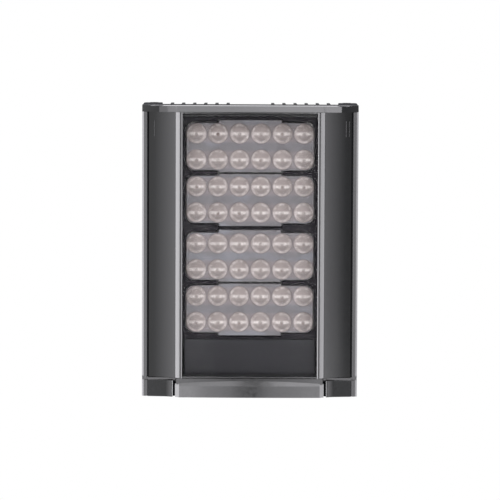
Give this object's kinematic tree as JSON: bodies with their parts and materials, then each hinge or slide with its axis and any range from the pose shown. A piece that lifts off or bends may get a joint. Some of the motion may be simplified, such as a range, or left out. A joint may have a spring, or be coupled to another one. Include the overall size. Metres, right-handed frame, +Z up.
{
  "type": "infrared illuminator",
  "caption": "Upright finned black housing with a recessed window over dome lens arrays, tilting on a folded wall yoke.",
  "frame": {"origin": "on the wall face, at the centre of the yoke's bolt holes, level with the tilt pivot", "axes": "+X to the right of someone facing the window, +Y back into the wall, +Z up; the window faces -Y"},
  "size_m": [0.18, 0.145, 0.2438],
  "materials": {
    "anodised_black": "black anodised extruded aluminium",
    "coated_black": "black powder-coated die-cast or folded metal",
    "gloss_black": "glossy black moulded polycarbonate",
    "clear_polycarbonate": "clear polished polycarbonate sheet",
    "carrier_black": "black moulded plastic with a satin face",
    "lens_acrylic": "moulded acrylic, translucent warm grey",
    "board_white": "white solder mask on an aluminium-core board",
    "board_green": "green solder mask on glass-epoxy board",
    "emitter": "ceramic-based infrared emitter",
    "silicone_seal": "black silicone rubber",
    "thermal_pad": "grey filled silicone pad",
    "stainless": "plain stainless steel fasteners",
    "black_nylon": "black moulded nylon",
    "ferrite": "dark ferrite and resin",
    "can_aluminium": "drawn aluminium can"
  },
  "bodies": {
    "bracket": {"yoke_bracket": "coated_black"},
    "head": {"heatsink_housing": "anodised_black", "top_end_cap": "coated_black", "bottom_end_cap": "coated_black", "top_cap_gasket": "silicone_seal", "bottom_cap_gasket": "silicone_seal", "top_cap_screws": "stainless", "bottom_cap_screws": "stainless", "front_fascia": "gloss_black", "fascia_gasket": "silicone_seal", "window_gasket": "silicone_seal", "window_pane": "clear_polycarbonate", "diffuser_insert": "clear_polycarbonate", "bottom_trim": "gloss_black", "trim_screws": "stainless", "lens_array_1": "lens_acrylic", "lens_array_2": "lens_acrylic", "lens_array_3": "lens_acrylic", "lens_array_4": "lens_acrylic", "thermal_pad_upper": "thermal_pad", "thermal_pad_lower": "thermal_pad", "led_board_upper": "board_white", "led_board_lower": "board_white", "led_emitters_upper": "emitter", "led_emitters_lower": "emitter", "led_board_screws": "stainless", "led_carrier": "carrier_black", "carrier_screws": "stainless", "driver_cover": "carrier_black", "driver_board": "board_green", "terminal_board": "board_green", "board_standoffs": "black_nylon", "driver_screws": "stainless", "driver_inductors": "ferrite", "driver_capacitors": "can_aluminium", "terminal_block": "black_nylon", "gland_washer": "silicone_seal", "gland_body": "black_nylon", "gland_locknut": "black_nylon", "gland_rubber": "silicone_seal", "gland_cap_nut": "black_nylon", "pivot_block": "coated_black", "channel_nut_plate": "stainless", "block_screws": "stainless", "pivot_bolt": "stainless", "pivot_washers": "stainless", "pivot_nut": "stainless", "tilt_lock_screws": "stainless", "tilt_lock_washers": "stainless"}
  },
  "joints": [
    {"name": "tilt", "type": "hinge", "parent": "bracket", "child": "head", "pos_m": [0, -0.065, 0], "axis": [1, 0, 0], "range_deg": [-35, 35]}
  ]
}
